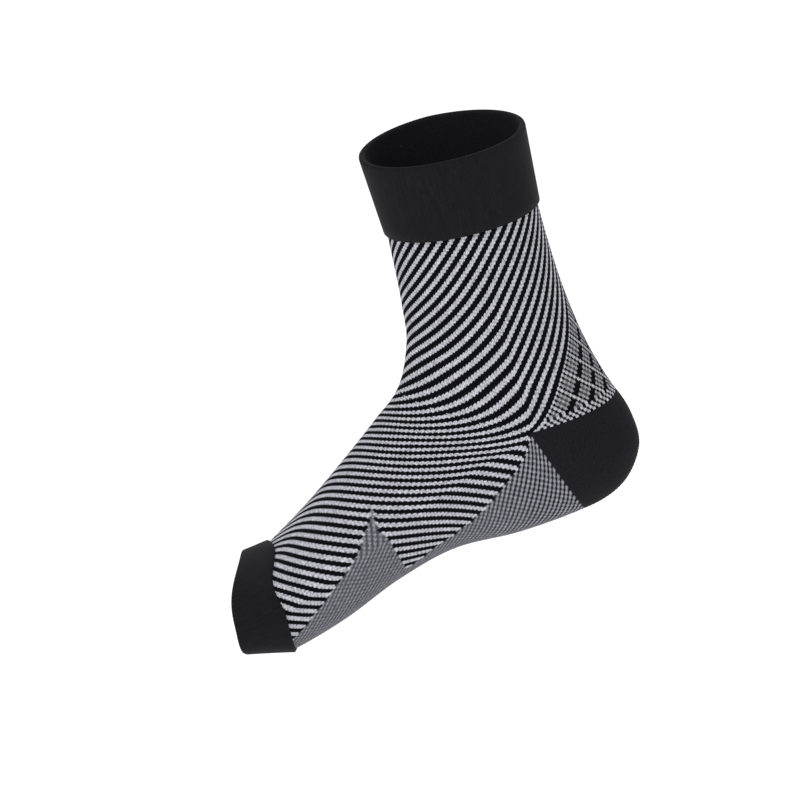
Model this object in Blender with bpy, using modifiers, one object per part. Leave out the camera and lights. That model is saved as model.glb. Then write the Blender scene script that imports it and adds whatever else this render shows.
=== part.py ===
"""Ankle compression sleeve: an open-toed knitted tube for the lower leg, ankle, heel and foot.

Frame: metres, +Z up with the sole level, toes towards -X, origin at the middle of the ankle.
The seamless fabric is laid out on a knitting chart. Needles are counted from the front mid
line (0) round each side to the back and sole mid line (HALF_NEEDLES), positive on the near
side (-Y, the inner side of a right foot) and negative on the far side. Courses are counted
from the course through the heel corners: below zero up the leg, above zero along the foot.
"""

from functools import lru_cache

import bmesh
import bpy
import numpy as np

# Reach of the sleeve from the middle of the ankle
LEG_RISE = 0.098  # up to the front of the cuff's seam
LEG_DEPTH = 0.068  # front to back at the cuff's seam
ANKLE_HEIGHT = 0.061  # down to the sole
FOOT_REACH = 0.129  # forward to the toe band's seam at the side
HEEL_REACH = 0.0485  # back to the heel

# Widths, side to side
CALF_WIDTH = 0.062
ANKLE_WIDTH = 0.060
BALL_WIDTH = 0.075

# Cuff
CUFF_HEIGHT = 0.037
CUFF_LEAN = 0.006  # how far the rim lies behind the seam
CUFF_FLARE = 1.07  # the rim's size against the seam's
CUFF_STAND = 0.0014  # how far the folded cuff stands proud of the leg
ROLL_STAND = 0.0044  # the same at its rolled lower edge
ROLL_HEIGHT = 0.0125

# Toe band
TOE_BAND_WIDTH = 0.0170  # under the sole
TOE_BAND_TOP_WIDTH = 0.0195  # over the instep
TOE_BAND_SIDE_WIDTH = 0.0180  # midway between the inner and the outer side
TOE_BAND_SLANT = 0.0090  # how far the rim's inner side leads that
TOE_BAND_DROP = 0.0010  # how much lower its rim's sides lie than the seam's
TOE_BAND_RISE = 1.14  # the rim's height above its sides against the seam's
TOE_BAND_TAPER = 0.76  # the rim's depth below its sides against the seam's
TOE_BAND_NARROWING = 0.95  # the rim's width against the seam's
TOE_BAND_SQUARE = 2.1  # the squareness of the rim's sole half
TOE_BAND_STAND = 0.0006
BALL_SLANT = 0.0042  # how far the inner side of the ball lies ahead of the middle

# Fabric
WALL = 0.0015
EDGE_ROUND = 0.0007  # rounding of the bands' folded edges
SEAM_GAP = 0.0003  # clearance between neighbouring pieces
SEAM_BEVEL = 0.0010  # of the bands' inner corners where they meet the knit

# Knitting chart
HALF_NEEDLES = 72
CORNER_NEEDLE = 36
CUFF_COURSE = -61
APEX_COURSE = -36  # the point of the panel behind the ankle, on the back mid line
TOE_COURSE = 94
GUSSET_NEEDLE, GUSSET_COURSE = 19, 52  # the point of the sole's side gusset
GUSSET_SHOULDER = 25  # where the gusset's rear edge turns to follow a course
GUSSET_END_NEEDLE = 40  # its front edge at the toe band
SOLE_EDGE_COURSES = (0, 12, 23, 35, 46, 56.4)  # from the heel corner to the gusset
SOLE_EDGE_NEEDLES = (36, 40, 43.2, 45.2, 46.3, 47)

# Mesh divisions of each half of the sleeve
LEG_ROWS = 5  # above the back panel's point
PANEL_ROWS = 8
HEEL_ROWS = 9
ARCH_ROWS = 10
BALL_ROWS = 7
FRONT_COLUMNS = 8  # from the front mid line to the gusset's needle
SHOULDER_COLUMNS = 2  # from there to the gusset's shoulder
SIDE_COLUMNS = 7
BACK_COLUMNS = 8
BAND_COLUMNS = 18
ROUND_STEPS = 3  # of a folded edge
BORDER = 0.4  # stitches in the narrow quads along a seam, which keep the wall square to it
HEEL_BORDER = 0.015  # the same as a share of the way round the heel
HEEL_TIP = 0.6  # needles from the heel's corner to the blunt tip of the pocket

# A row for each ring of the sleeve. Places lie in the mid plane: x is a share of LEG_DEPTH
# on the leg and of FOOT_REACH on the foot, z of LEG_RISE above the ankle and of
# ANKLE_HEIGHT below it. Width is a share of the named width. Needles is the share of the
# half ring's needles ahead of the side line. Square is the squareness of the back or sole
# half, 2 for an ellipse. Bow is how far the instep's course bows forward and slant how far
# the inner side leads, both as shares of BALL_SLANT.
RING_COLUMNS = (
    "course", "front_x", "front_z", "side_x", "side_z", "back_x", "back_z",
    "width_of", "width", "needles", "square", "bow", "slant",
)  # fmt: skip
LEG_RINGS = [
    (-61, -0.265, 1.000, 0.228, 0.934, 0.735, 0.852, "calf", 1.00, 0.50, 2.0, 0.0, 0.0),
    (-46, -0.324, 0.801, 0.191, 0.694, 0.684, 0.617, "calf", 0.985, 0.50, 2.0, 0.0, 0.0),
    (-31, -0.382, 0.628, 0.154, 0.444, 0.647, 0.367, "calf", 0.97, 0.50, 2.0, 0.0, 0.0),
    (-16, -0.456, 0.459, 0.103, 0.184, 0.640, 0.102, "ankle", 1.00, 0.50, 2.0, 0.0, 0.0),
    (0, -0.632, 0.276, 0.037, -0.131, 0.684, -0.270, "ankle", 1.00, 0.50, 2.0, 0.0, 0.0),
]
FOOT_RINGS = [
    (21, -0.457, 0.173, -0.205, -0.221, -0.155, -0.950, "ankle", 1.00, 0.44, 2.4, 0.0, 0.0),
    (42, -0.581, 0.082, -0.411, -0.328, -0.388, -0.840, "ankle", 1.03, 0.40, 2.4, 0.0, 0.2),
    (60, -0.707, -0.015, -0.620, -0.418, -0.605, -0.857, "ball", 0.893, 0.38, 2.6, 0.1, 0.5),
    (77, -0.840, -0.172, -0.822, -0.508, -0.822, -0.944, "ball", 0.96, 0.38, 2.8, 0.4, 0.8),
    (94, -0.971, -0.311, -1.000, -0.590, -1.031, -0.985, "ball", 1.00, 0.38, 2.8, 0.5, 1.0),
]
# The heel's mid line from the pocket's upper edge to its lower one: how far round, x as a
# share of HEEL_REACH, z of ANKLE_HEIGHT, and square
HEEL_COLUMNS = ("round", "back_x", "back_z", "square")
HEEL_LINE = [
    (0.25, 1.000, -0.516, 2.0),
    (0.50, 0.938, -0.754, 2.1),
    (0.75, 0.660, -0.951, 2.3),
    (1.00, 0.237, -1.000, 2.4),
]
WIDTHS = {"calf": CALF_WIDTH, "ankle": ANKLE_WIDTH, "ball": BALL_WIDTH}


def height(share):
    return share * (LEG_RISE if share > 0 else ANKLE_HEIGHT)


def sized(row, length):
    """A ring as lengths, from its row of shares."""
    part = dict(zip(RING_COLUMNS, row))
    ring = {
        end: np.array([part[end + "_x"] * length, height(part[end + "_z"])])
        for end in ("front", "side", "back")
    }
    ring["half"] = part["width"] * WIDTHS[part["width_of"]] / 2
    ring["needles"] = part["needles"]
    ring["square"] = part["square"]
    ring["bow"] = part["bow"] * BALL_SLANT
    ring["slant"] = part["slant"] * BALL_SLANT
    return ring


def heel_sized(row):
    """A ring round the heel, which keeps the front half of the ankle's lowest ring."""
    part = dict(zip(HEEL_COLUMNS, row))
    back = np.array([part["back_x"] * HEEL_REACH, height(part["back_z"])])
    return dict(LEG[-1], back=back, square=part["square"])


LEG_COURSES = [row[0] for row in LEG_RINGS]
LEG = [sized(row, LEG_DEPTH) for row in LEG_RINGS]
HEEL_ROUNDS = [0] + [row[0] for row in HEEL_LINE]
HEEL = [LEG[-1]] + [heel_sized(row) for row in HEEL_LINE]
FOOT_COURSES = [0] + [row[0] for row in FOOT_RINGS]
FOOT = [HEEL[-1]] + [sized(row, FOOT_REACH) for row in FOOT_RINGS]


def between(places, values, place):
    """The value at a place, on a smooth curve through the values at the given places."""
    i = int(np.clip(np.searchsorted(places, place, side="right") - 1, 0, len(places) - 2))
    step = places[i + 1] - places[i]
    share = (place - places[i]) / step

    def chord(low, high):
        return (values[high] - values[low]) / (places[high] - places[low]) * step

    def slope(k):
        if k == 0:
            return 2 * chord(0, 1) - chord(0, 2)
        if k == len(places) - 1:
            return 2 * chord(k - 1, k) - chord(k - 2, k)
        return chord(k - 1, k + 1)

    rise = values[i + 1] - values[i]
    square_term = 3 * rise - 2 * slope(i) - slope(i + 1)
    cube_term = slope(i) + slope(i + 1) - 2 * rise
    return values[i] + slope(i) * share + square_term * share**2 + cube_term * share**3


def ring_between(places, rings, place):
    return {key: between(places, [ring[key] for ring in rings], place) for key in rings[0]}


@lru_cache(maxsize=None)
def leg_ring(course):
    return ring_between(LEG_COURSES, LEG, course)


@lru_cache(maxsize=None)
def heel_ring(share):
    return ring_between(HEEL_ROUNDS, HEEL, share)


@lru_cache(maxsize=None)
def foot_ring(course):
    return ring_between(FOOT_COURSES, FOOT, course)


def even_angle(reach, half, share):
    """The angle on a quarter ellipse that lies this share of its length from the side."""
    spare = half - reach
    length = (reach + spare / 2) * np.pi / 2 * share
    angle = share * np.pi / 2
    for _ in range(5):
        covered = reach * angle + spare * (angle / 2 - np.sin(2 * angle) / 4)
        angle -= (covered - length) / (reach + spare * np.sin(angle) ** 2)
    return np.clip(angle, 0, np.pi / 2)


def on_ring(ring, needle):
    """The point of the fabric's outer face at a needle of a ring."""
    needle = (needle + HALF_NEEDLES) % (2 * HALF_NEEDLES) - HALF_NEEDLES
    count = abs(needle)
    ahead = ring["needles"] * HALF_NEEDLES
    if count <= ahead:
        end, share, square, bow = ring["front"], 1 - count / ahead, 2.0, ring["bow"]
    else:
        end, share = ring["back"], (count - ahead) / (HALF_NEEDLES - ahead)
        square, bow = ring["square"], 0.0
    along = end - ring["side"]
    angle = even_angle(np.linalg.norm(along), ring["half"], share)
    inward, outward = np.sin(angle), np.cos(angle)
    size = (inward**square + outward**square) ** (-1 / square)
    near = np.sign(needle) * outward * size
    x, z = ring["side"] + along * inward * size
    x -= bow * np.sin(2 * angle) ** 2 + ring["slant"] * near
    return np.array([x, -near * ring["half"], z])


def stitch(ring_at, course, needle):
    """How wide a stitch is, and how high."""
    ring = ring_at(course)
    wide = np.linalg.norm(on_ring(ring, needle + 0.5) - on_ring(ring, needle - 0.5))
    first, last = ring_at(course - 0.5), ring_at(course + 0.5)
    return wide, np.linalg.norm(on_ring(last, needle) - on_ring(first, needle))


def needle_inset(ring_at, course, needle, slope):
    """Half a seam gap in needles, for an edge that moves by slope needles a course."""
    wide, high = stitch(ring_at, course, needle)
    return SEAM_GAP / 2 * np.hypot(1 / wide, slope / high)


def course_inset(ring_at, course, needle, slope=0.0):
    """Half a seam gap in courses, for an edge that moves by slope courses a needle."""
    wide, high = stitch(ring_at, course, needle)
    return SEAM_GAP / 2 * np.hypot(1 / high, slope / wide)


def heel_inset(share, step, needle):
    """Half a seam gap as a share of the way round the heel, from its edge at share."""
    reach = on_ring(heel_ring(share + step), needle) - on_ring(heel_ring(share), needle)
    return SEAM_GAP / 2 * abs(step) / np.linalg.norm(reach)


def panel_edge(course, side):
    """The needle of the edge between the leg, side -1, and the panel behind it, side 1."""
    edge = CORNER_NEEDLE - course
    return edge + side * needle_inset(leg_ring, course, edge, slope=1)


def sole_edge(course, side):
    """The needle of the edge between the striped foot, side -1, and the sole, side 1."""
    edge = np.interp(course, SOLE_EDGE_COURSES, SOLE_EDGE_NEEDLES)
    return edge + side * needle_inset(foot_ring, course + 0.5, edge, slope=1 / 3)


FRONT_SLOPE = (GUSSET_END_NEEDLE - GUSSET_NEEDLE) / (TOE_COURSE - GUSSET_COURSE)
REAR_SLOPE = (SOLE_EDGE_COURSES[-1] - GUSSET_COURSE) / (GUSSET_SHOULDER - GUSSET_NEEDLE)
FRONT_INSET = needle_inset(foot_ring, GUSSET_COURSE, GUSSET_NEEDLE, FRONT_SLOPE)
REAR_INSET = course_inset(foot_ring, GUSSET_COURSE, GUSSET_NEEDLE, REAR_SLOPE)
GUSSET_INSET = (FRONT_INSET + FRONT_SLOPE * REAR_INSET) / (1 - FRONT_SLOPE * REAR_SLOPE)
CUFF_INSET = course_inset(leg_ring, CUFF_COURSE + 1, needle=0)
TOE_INSET = course_inset(foot_ring, TOE_COURSE - 1, needle=0)


def gusset_front(course, side):
    """The needle of the gusset's front edge, side -1 on the stripes and 1 on the gusset."""
    return GUSSET_NEEDLE + FRONT_SLOPE * (course - GUSSET_COURSE) + side * FRONT_INSET


def gusset_rear(needle, side):
    """The course of the gusset's rear edge, and of its point for the needles before it."""
    past = max(needle - GUSSET_NEEDLE, side * GUSSET_INSET)
    return min(GUSSET_COURSE + REAR_SLOPE * past, SOLE_EDGE_COURSES[-1]) + side * REAR_INSET


def spread(first, last, count, first_border=0, last_border=0):
    """Even places from first to last, with one more just inside each end that has a border."""
    places = list(np.linspace(first, last, count + 1))
    if first_border:
        places.insert(1, first + np.copysign(first_border, last - first))
    if last_border:
        places.insert(-1, last - np.copysign(last_border, last - first))
    return places


def both_sides(places, near=1):
    """A row of points by column from the mid line, near columns positive or negative."""
    row = {}
    for column, (ring, needle) in enumerate(places):
        row[near * column] = on_ring(ring, needle)
        row[-near * column] = on_ring(ring, -needle)
    return row


def striped_rows():
    """The leg, the ankle and the top of the foot, from the front mid line."""
    rows = []
    point = GUSSET_NEEDLE - GUSSET_INSET
    front = spread(0, point, FRONT_COLUMNS, last_border=BORDER)
    front += spread(point, GUSSET_SHOULDER, SHOULDER_COLUMNS)[1:]

    def needles(edge):
        return front + spread(GUSSET_SHOULDER, edge, SIDE_COLUMNS, last_border=BORDER)[1:]

    apex = APEX_COURSE - needle_inset(leg_ring, APEX_COURSE, HALF_NEEDLES, slope=1)
    for course in spread(CUFF_COURSE + CUFF_INSET, apex, LEG_ROWS, first_border=BORDER):
        rows.append(both_sides([(leg_ring(course), n) for n in needles(HALF_NEEDLES)]))
    for course in spread(apex, 0, PANEL_ROWS)[1:]:
        edge = panel_edge(course, side=-1)
        rows.append(both_sides([(leg_ring(course), n) for n in needles(edge)]))
    end = SOLE_EDGE_COURSES[-1] - REAR_INSET
    for course in spread(0, end, ARCH_ROWS, last_border=BORDER)[1:]:
        reached = course / end
        places = [
            (foot_ring(reached * gusset_rear(n, side=-1)), n)
            for n in needles(sole_edge(course, side=-1))
        ]
        rows.append(both_sides(places))
    start, end = gusset_rear(point, side=-1), TOE_COURSE - TOE_INSET
    for course in spread(start, end, BALL_ROWS, last_border=BORDER)[1:]:
        edge = gusset_front(course, side=-1)
        across = spread(0, edge, FRONT_COLUMNS, last_border=BORDER)
        rows.append(both_sides([(foot_ring(course), n) for n in across]))
    return rows


def panel_rows():
    """The panel behind the ankle, from its point down, from the back mid line."""
    rows = []
    apex = APEX_COURSE + needle_inset(leg_ring, APEX_COURSE, HALF_NEEDLES, slope=1)
    bottom = -course_inset(leg_ring, -1, HALF_NEEDLES)
    rows.append({0: on_ring(leg_ring(apex), HALF_NEEDLES)})
    for course in spread(apex, bottom, PANEL_ROWS, last_border=BORDER)[1:]:
        edge = panel_edge(course, side=1)
        across = spread(HALF_NEEDLES, edge, BACK_COLUMNS, last_border=BORDER)
        rows.append(both_sides([(leg_ring(course), n) for n in across], near=-1))
    rows[0] = dict.fromkeys(rows[1], rows[0][0])
    return rows


def heel_rows():
    """The pocket round the heel, which fans out from the corners at the ankle's sides."""
    across = spread(HALF_NEEDLES, CORNER_NEEDLE, BACK_COLUMNS)
    across[-1] += HEEL_TIP
    rows = []
    for share in spread(0, 1, HEEL_ROWS, HEEL_BORDER, HEEL_BORDER):
        places = []
        for needle in across:
            first = heel_inset(0, 0.1, needle)
            last = 1 - heel_inset(1, -0.1, needle)
            places.append((heel_ring(first + share * (last - first)), needle))
        rows.append(both_sides(places, near=-1))
    return rows


def sole_rows():
    """The sole from the heel pocket forward, with the gussets that rise at the ball."""
    rows = []
    start = course_inset(foot_ring, 1, HALF_NEEDLES)
    end = SOLE_EDGE_COURSES[-1] + REAR_INSET
    for course in spread(start, end, ARCH_ROWS, first_border=BORDER)[:-1]:
        across = spread(HALF_NEEDLES, sole_edge(course, side=1), BACK_COLUMNS, last_border=BORDER)
        rows.append(both_sides([(foot_ring(course), n) for n in across], near=-1))
    corner = sole_edge(end, side=1)
    rear = spread(HALF_NEEDLES, corner, BACK_COLUMNS, last_border=BORDER)
    rear += spread(corner, GUSSET_SHOULDER, SIDE_COLUMNS, first_border=BORDER)[1:]
    point = GUSSET_NEEDLE + GUSSET_INSET
    rear += spread(GUSSET_SHOULDER, point, SHOULDER_COLUMNS, last_border=BORDER)[1:]
    toe = TOE_COURSE - TOE_INSET
    front_edge = gusset_front(toe, side=1)
    front = spread(HALF_NEEDLES, front_edge, len(rear) - 2, last_border=BORDER)
    border = BORDER / (toe - end)
    for share in spread(0, 1, BALL_ROWS, border, border):
        places = []
        for first, last in zip(rear, front):
            course = gusset_rear(first, side=1) * (1 - share) + toe * share
            places.append((foot_ring(course), first * (1 - share) + last * share))
        rows.append(both_sides(places, near=-1))
    return rows


def cuff_rim():
    """The ring of the cuff's top, above and behind its seam."""
    seam = LEG[0]
    side = seam["side"] + np.array([CUFF_LEAN, CUFF_HEIGHT])
    rim = {end: side + CUFF_FLARE * (seam[end] - seam["side"]) for end in ("front", "back")}
    return dict(seam, side=side, half=CUFF_FLARE * seam["half"], **rim)


def toe_rim():
    """The ring of the toe band's front edge, whose sides lead."""
    seam = FOOT[-1]
    side = seam["side"] - np.array([TOE_BAND_SIDE_WIDTH, TOE_BAND_DROP])
    rim = dict(seam, side=side, half=TOE_BAND_NARROWING * seam["half"])
    ends = (("front", TOE_BAND_TOP_WIDTH, TOE_BAND_RISE), ("back", TOE_BAND_WIDTH, TOE_BAND_TAPER))
    for end, width, share in ends:
        rise = seam[end][1] - seam["side"][1]
        rim[end] = np.array([seam[end][0] - width, side[1] + share * rise])
    rim["slant"] = TOE_BAND_SLANT
    rim["square"] = TOE_BAND_SQUARE
    return rim


def folded_edge(width, stand):
    """The rounded far edge of a band, from its inner face to its outer one."""
    turns = np.linspace(0, np.pi / 2, ROUND_STEPS)
    inner = [
        (width - EDGE_ROUND * (1 - np.sin(turn)), -WALL + EDGE_ROUND * (1 - np.cos(turn)))
        for turn in turns
    ]
    outer = [(along, stand - WALL - level) for along, level in reversed(inner)]
    return inner + outer


def seam_edge():
    """The bevelled corner of a band's inner face at its seam."""
    return [(0, SEAM_BEVEL - WALL), (SEAM_BEVEL, -WALL)]


def rolled_edge():
    """The roll at the cuff's seam, from the outer face down to the leg's surface."""
    roll = []
    for turn in np.linspace(0, np.pi, 2 * ROUND_STEPS):
        level = (1 + np.cos(turn)) / 2
        base = CUFF_STAND * level
        roll.append((ROLL_HEIGHT * level, base + (ROLL_STAND - base) * np.sin(turn)))
    return roll


def normal_at(first, last, share, needle):
    """The outward normal between two rings."""
    ring = blend(first, last, share)
    across = on_ring(ring, needle + 0.5) - on_ring(ring, needle - 0.5)
    along = on_ring(last, needle) - on_ring(first, needle)
    middle_x, middle_z = (ring["front"] + ring["back"]) / 2
    outward = on_ring(ring, needle) - np.array([middle_x, 0, middle_z])
    normal = np.cross(across, along)
    return normal / np.linalg.norm(normal) * np.sign(normal @ outward)


def blend(first, last, share):
    return {key: first[key] * (1 - share) + last[key] * share for key in first}


def colour(name, red, green, blue, roughness):
    material = bpy.data.materials.new(name)
    material.use_nodes = True
    shader = material.node_tree.nodes["Principled BSDF"]
    shader.inputs["Base Color"].default_value = (red, green, blue, 1)
    shader.inputs["Roughness"].default_value = roughness
    shader.inputs["Metallic"].default_value = 0.0
    return material


def add_piece(name, mesh, material):
    data = bpy.data.meshes.new(name)
    mesh.to_mesh(data)
    mesh.free()
    data.materials.append(material)
    data.shade_smooth()
    piece = bpy.data.objects.new(name, data)
    sleeve.objects.link(piece)
    return piece


def knitted_piece(name, rows, material):
    """A sheet lofted through rows of points, thickened inward to the wall."""
    mesh = bmesh.new()
    made = [{column: mesh.verts.new(point) for column, point in row.items()} for row in rows]
    for upper, lower in zip(made, made[1:]):
        for column in upper:
            if column + 1 in upper and column in lower and column + 1 in lower:
                left, right = (upper[column], lower[column]), (lower[column + 1], upper[column + 1])
                mesh.faces.new(left + right)
    bmesh.ops.remove_doubles(mesh, verts=mesh.verts, dist=1e-5)
    piece = add_piece(name, mesh, material)
    wall = piece.modifiers.new("wall", "SOLIDIFY")
    wall.thickness = WALL
    wall.offset = -1


def folded_band(name, seam, rim, width, profile, material):
    """A band of doubled fabric, its profile swept round from its seam to its rim."""
    mesh = bmesh.new()
    loops = []
    for needle in np.linspace(-HALF_NEEDLES, HALF_NEEDLES, 2 * BAND_COLUMNS + 1)[:-1]:
        loop = []
        for along, stand in profile:
            share = max(along, SEAM_GAP / 2) / width
            point = on_ring(blend(seam, rim, share), needle)
            loop.append(mesh.verts.new(point + stand * normal_at(seam, rim, share, needle)))
        loops.append(loop)
    for loop, following in zip(loops, loops[1:] + loops[:1]):
        for i in range(len(profile)):
            mesh.faces.new((loop[i - 1], loop[i], following[i], following[i - 1]))
    bmesh.ops.recalc_face_normals(mesh, faces=mesh.faces)
    add_piece(name, mesh, material)


for thing in list(bpy.data.objects):
    bpy.data.objects.remove(thing)

sleeve = bpy.data.collections.new("ankle_compression_sleeve")
bpy.context.scene.collection.children.link(sleeve)

BAND_YARN = colour("black ribbed band yarn", 0.012, 0.012, 0.015, 0.85)
HEEL_YARN = colour("black heel yarn", 0.015, 0.014, 0.018, 0.9)
STRIPED_YARN = colour("black and white striped yarn", 0.12, 0.12, 0.135, 0.9)
PANEL_YARN = colour("black and white diamond yarn", 0.105, 0.105, 0.115, 0.9)
SOLE_YARN = colour("grey birdseye yarn", 0.14, 0.14, 0.16, 0.9)

knitted_piece("striped_sleeve", striped_rows(), STRIPED_YARN)
knitted_piece("achilles_panel", panel_rows(), PANEL_YARN)
knitted_piece("heel_pocket", heel_rows(), HEEL_YARN)
knitted_piece("sole_panel", sole_rows(), SOLE_YARN)

cuff_profile = seam_edge() + folded_edge(CUFF_HEIGHT, CUFF_STAND) + rolled_edge()
folded_band("cuff", LEG[0], cuff_rim(), CUFF_HEIGHT, cuff_profile, BAND_YARN)
toe_profile = seam_edge() + folded_edge(TOE_BAND_WIDTH, TOE_BAND_STAND) + [(0, TOE_BAND_STAND)]
folded_band("toe_band", FOOT[-1], toe_rim(), TOE_BAND_WIDTH, toe_profile, BAND_YARN)
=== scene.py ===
"""Looks of the knitted ankle compression sleeve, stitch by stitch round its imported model.

The fabric lies on the CAD's knitting chart. Needles are counted from the front mid line (0)
round each side to the back and sole mid line, positive on the near side (-Y). Courses are
counted from the one through the heel corners: below zero up to the cuff, above zero along to
the toe band.
"""

import bpy
import numpy as np
from mathutils import Matrix, Vector


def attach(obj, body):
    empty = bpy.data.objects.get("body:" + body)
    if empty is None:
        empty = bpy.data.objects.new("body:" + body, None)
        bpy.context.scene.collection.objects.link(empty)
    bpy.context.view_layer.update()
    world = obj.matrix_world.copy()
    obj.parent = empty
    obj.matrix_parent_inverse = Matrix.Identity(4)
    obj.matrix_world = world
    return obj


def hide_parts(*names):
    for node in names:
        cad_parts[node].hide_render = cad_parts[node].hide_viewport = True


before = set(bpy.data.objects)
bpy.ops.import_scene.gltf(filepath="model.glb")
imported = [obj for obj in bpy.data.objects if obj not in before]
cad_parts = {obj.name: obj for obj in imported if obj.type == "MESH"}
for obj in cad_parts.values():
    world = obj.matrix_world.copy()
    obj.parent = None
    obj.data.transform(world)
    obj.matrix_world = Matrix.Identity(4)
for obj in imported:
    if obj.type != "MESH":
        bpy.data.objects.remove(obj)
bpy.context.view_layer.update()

# Reach of the sleeve from the frame's origin, and its widths
LEG_RISE = 0.098
LEG_DEPTH = 0.068
ANKLE_HEIGHT = 0.061
FOOT_REACH = 0.129
HEEL_REACH = 0.0485
CALF_WIDTH = 0.062
ANKLE_WIDTH = 0.060
BALL_WIDTH = 0.075

# Cuff and toe band
CUFF_HEIGHT = 0.037
CUFF_LEAN = 0.006
CUFF_FLARE = 1.07
CUFF_STAND = 0.0014
ROLL_STAND = 0.0044
ROLL_HEIGHT = 0.0150
ROLL_TURN = 0.0060
TOE_BAND_WIDTH = 0.0170
TOE_BAND_TOP_WIDTH = 0.0170
TOE_BAND_SIDE_WIDTH = 0.0180
TOE_BAND_SLANT = 0.0100
TOE_BAND_DROP = 0.0010
TOE_BAND_RISE = 1.14
TOE_BAND_TAPER = 0.62
TOE_BAND_NARROWING = 0.95
TOE_BAND_SQUARE = 2.1
TOE_BAND_BOW = 0.0016
TOE_BAND_STAND = 0.0006
BALL_SLANT = 0.0042
WALL = 0.0015

# Knitting chart
HALF_NEEDLES = 72
NEEDLES = 2 * HALF_NEEDLES
CORNER_NEEDLE = 36
CUFF_COURSE = -61
TOE_COURSE = 94
GUSSET_NEEDLE, GUSSET_COURSE = 19, 52
GUSSET_SHOULDER = 25
GUSSET_END_NEEDLE = 40
SOLE_EDGE_COURSES = (0, 12, 23, 35, 46, 56.4)
SOLE_EDGE_NEEDLES = (36, 40, 43.2, 45.2, 46.3, 47)
HEEL_COURSES = 46  # round the heel pocket's mid line
HEEL_TURN = 24  # needles at each side that the pocket's courses leave one by one
STRIPE_TURN = 12  # needles past the front mid line at which the stripes turn back

# A ring of the fabric in a row: course, then x and z of its front, side and back, the width it
# is a share of and that share, needles ahead of the side line, squareness, bow and slant
LEG_RINGS = [
    (-61, -0.265, 1.000, 0.228, 0.934, 0.735, 0.852, CALF_WIDTH, 1.00, 0.50, 2.0, 0.0, 0.0),
    (-46, -0.324, 0.801, 0.191, 0.694, 0.684, 0.617, CALF_WIDTH, 0.985, 0.50, 2.0, 0.0, 0.0),
    (-31, -0.382, 0.628, 0.154, 0.444, 0.647, 0.367, CALF_WIDTH, 0.97, 0.50, 2.0, 0.0, 0.0),
    (-16, -0.456, 0.459, 0.103, 0.184, 0.640, 0.102, ANKLE_WIDTH, 1.00, 0.50, 2.0, 0.0, 0.0),
    (0, -0.632, 0.276, 0.037, -0.131, 0.684, -0.270, ANKLE_WIDTH, 1.00, 0.50, 2.0, 0.0, 0.0),
]
FOOT_RINGS = [
    (21, -0.457, 0.173, -0.205, -0.221, -0.155, -0.950, ANKLE_WIDTH, 1.00, 0.44, 2.4, 0.0, 0.0),
    (42, -0.581, 0.082, -0.411, -0.328, -0.388, -0.840, ANKLE_WIDTH, 1.03, 0.40, 2.4, 0.0, 0.2),
    (60, -0.707, -0.015, -0.620, -0.418, -0.605, -0.857, BALL_WIDTH, 0.893, 0.38, 2.6, 0.1, 0.5),
    (77, -0.840, -0.172, -0.822, -0.508, -0.822, -0.944, BALL_WIDTH, 0.96, 0.38, 2.8, 0.5, 0.8),
    (94, -0.971, -0.311, -1.000, -0.590, -1.031, -0.985, BALL_WIDTH, 1.00, 0.38, 2.8, 0.75, 1.0),
]
# The heel pocket's mid line: how far round, x, z and squareness
HEEL_LINE = [
    (0.25, 1.000, -0.516, 2.0),
    (0.50, 0.938, -0.754, 2.1),
    (0.75, 0.660, -0.951, 2.3),
    (1.00, 0.237, -1.000, 2.4),
]
FRONT, SIDE, BACK = slice(0, 2), slice(2, 4), slice(4, 6)
HALF, AHEAD, SQUARE, BOW, SLANT = range(6, 11)

# Steps small enough to follow the fabric's curve
ANGLE_ROUNDS = 5
NEEDLE_STEP, COURSE_STEP = 0.05, 0.05
HEEL_STEP = 0.002
BAND_STEP = 0.0005


def height(share):
    return share * (LEG_RISE if share > 0 else ANKLE_HEIGHT)


def sized(row, length):
    """A ring as lengths, from its row of shares."""
    ends, (width, share, ahead, square, bow, slant) = row[1:7], row[7:]
    places = [height(end) if odd % 2 else end * length for odd, end in enumerate(ends)]
    return places + [width * share / 2, ahead, square, bow * BALL_SLANT, slant * BALL_SLANT]


LEG = np.array([sized(row, LEG_DEPTH) for row in LEG_RINGS])
HEEL = np.repeat(LEG[-1:], len(HEEL_LINE) + 1, axis=0)
for ring, (_, back_x, back_z, square) in zip(HEEL[1:], HEEL_LINE):
    ring[BACK] = back_x * HEEL_REACH, height(back_z)
    ring[SQUARE] = square
FOOT = np.vstack([HEEL[-1], [sized(row, FOOT_REACH) for row in FOOT_RINGS]])
LEG_COURSES = np.array([row[0] for row in LEG_RINGS], float)
HEEL_ROUNDS = np.array([0] + [row[0] for row in HEEL_LINE], float)
FOOT_COURSES = np.array([0] + [row[0] for row in FOOT_RINGS], float)


def slopes_at(places, values):
    """How fast each length of the given rings changes."""

    def chord(low, high):
        return (values[high] - values[low]) / (places[high] - places[low])

    last = len(places) - 1
    slopes = [chord(k - 1, k + 1) for k in range(1, last)]
    slopes.insert(0, 2 * chord(0, 1) - chord(0, 2))
    slopes.append(2 * chord(last - 1, last) - chord(last - 2, last))
    return np.array(slopes)


LEG_SLOPES = slopes_at(LEG_COURSES, LEG)
HEEL_SLOPES = slopes_at(HEEL_ROUNDS, HEEL)
FOOT_SLOPES = slopes_at(FOOT_COURSES, FOOT)
for shared in (FRONT, SIDE, HALF, AHEAD):
    slope = (LEG_SLOPES[-1, shared] + FOOT_SLOPES[0, shared]) / 2
    LEG_SLOPES[-1, shared] = slope
    FOOT_SLOPES[0, shared] = slope


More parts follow.
